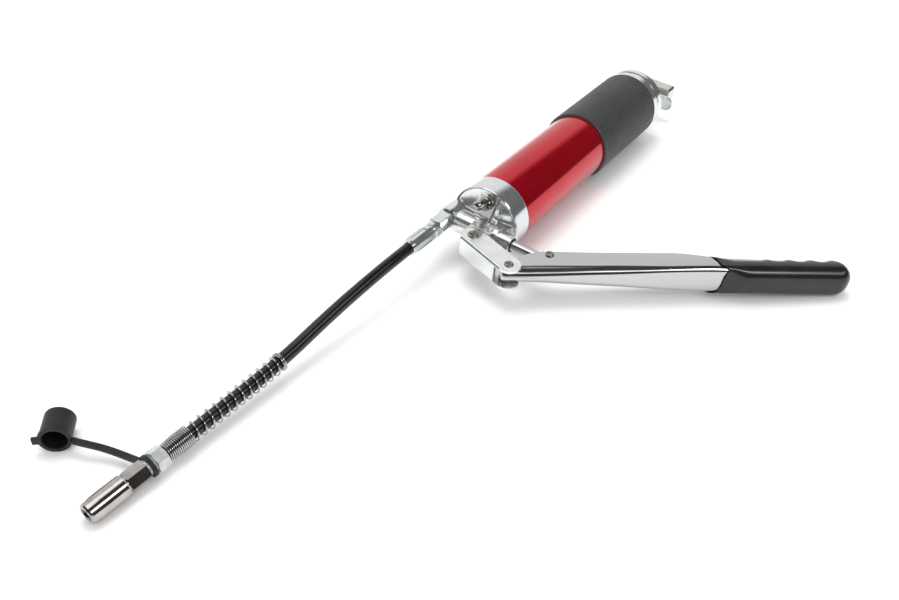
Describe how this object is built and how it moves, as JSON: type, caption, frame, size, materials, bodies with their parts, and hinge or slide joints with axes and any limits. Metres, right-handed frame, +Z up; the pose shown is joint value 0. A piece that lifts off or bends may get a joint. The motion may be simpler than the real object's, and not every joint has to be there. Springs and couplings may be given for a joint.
{
  "type": "lever grease gun",
  "caption": "Lever-operated grease gun lying on its side, with a round barrel, pull-rod follower, pump head, gripped lever and free hose with a capped coupler.",
  "frame": {"origin": "on the bench, under the middle of the gun's bounding box without the free hose and what is on it", "axes": "+X forward along the barrel to the hose outlet, +Y to the lever side, +Z up from the bench"},
  "size_m": [0.6562, 0.3755, 0.0613],
  "materials": {
    "red_lacquer": "glossy red lacquer over steel",
    "zinc_plate": "bright bluish zinc plating",
    "cast_zinc": "bright plated die casting",
    "lever_plate": "brushed and plated pressed steel",
    "bright_steel": "ground and bright steel",
    "dark_nickel": "dark nickel plating",
    "spring_wire": "plated spring wire",
    "warm_nickel": "warm nickel plating",
    "sleeve_rubber": "dark grey ribbed rubber",
    "grip_vinyl": "soft black vinyl",
    "hose_rubber": "smooth black rubber",
    "cap_rubber": "matt black rubber"
  },
  "bodies": {
    "head": {"barrel_gasket": "cap_rubber", "head_casting": "cast_zinc", "head_spigot": "cast_zinc", "plunger_seal": "cap_rubber", "check_ball": "bright_steel", "check_spring": "spring_wire", "vent_body": "dark_nickel", "vent_spring": "spring_wire", "fulcrum_pin": "bright_steel", "outlet_washer": "bright_steel", "outlet_fitting": "zinc_plate", "hose_ferrule": "zinc_plate", "hose": "hose_rubber", "spring_guard": "spring_wire", "hose_adapter": "bright_steel", "coupler_body": "dark_nickel", "coupler_sleeve": "dark_nickel", "coupler_jaws": "bright_steel", "coupler_seal": "cap_rubber", "coupler_check": "bright_steel", "coupler_cap": "cap_rubber"},
    "barrel": {"barrel_tube": "red_lacquer", "barrel_collar": "zinc_plate", "grip_sleeve": "sleeve_rubber", "end_cap": "zinc_plate", "lock_spring": "spring_wire", "follower_spring": "spring_wire"},
    "rod": {"follower_rod": "bright_steel", "follower_cup": "cap_rubber", "follower_washers": "bright_steel", "follower_nut": "bright_steel", "pull_handle": "warm_nickel"},
    "rod_lock": {"rod_lock_plate": "zinc_plate"},
    "link": {"link": "cast_zinc", "link_pin": "bright_steel"},
    "lever": {"lever": "lever_plate", "lever_grip": "grip_vinyl", "plunger_pin": "bright_steel"},
    "plunger": {"plunger": "bright_steel"},
    "vent_button": {"vent_button": "dark_nickel"}
  },
  "joints": [
    {"name": "link_hinge", "type": "hinge", "parent": "head", "child": "link", "pos_m": [0.1482, -0.10233, 0.02996], "axis": [0, 0.075, 0.9972], "range_deg": [-8.86, 3.15]},
    {"name": "lever_hinge", "type": "hinge", "parent": "link", "child": "lever", "pos_m": [0.1606, -0.06224, 0.02695], "axis": [0, 0.075, 0.9972], "range_deg": [-14.9, 44.6]},
    {"name": "plunger_slide", "type": "slide", "parent": "head", "child": "plunger", "axis": [0, 0.9972, -0.075], "range_m": [-0.0233, 0.008]},
    {"name": "barrel_draw", "type": "slide", "parent": "head", "child": "barrel", "axis": [-1, 0, 0], "range_m": [0, 0.03]},
    {"name": "rod_pull", "type": "slide", "parent": "barrel", "child": "rod", "axis": [-1, 0, 0], "range_m": [0, 0.165], "stiffness_N_per_m": 120, "springref_m": -0.06, "deforming": ["follower_spring"]},
    {"name": "rod_lock_tilt", "type": "hinge", "parent": "barrel", "child": "rod_lock", "pos_m": [-0.159, -0.12047, 0.03132], "axis": [0, -0.075, -0.9972], "range_deg": [0, 5], "stiffness_Nm_per_rad": 0.8, "springref_deg": -11.46, "deforming": ["lock_spring"]},
    {"name": "vent_press", "type": "slide", "parent": "head", "child": "vent_button", "axis": [-0.9272, -0.0281, -0.3736], "range_m": [0, 0.0015], "stiffness_N_per_m": 900, "springref_m": -0.002, "deforming": ["vent_spring"]}
  ],
  "couplings": [
    {"joint": "link_hinge", "follows": "lever_hinge", "ratio": -0.19212},
    {"joint": "plunger_slide", "follows": "lever_hinge", "m_per_rad": -0.029633}
  ]
}
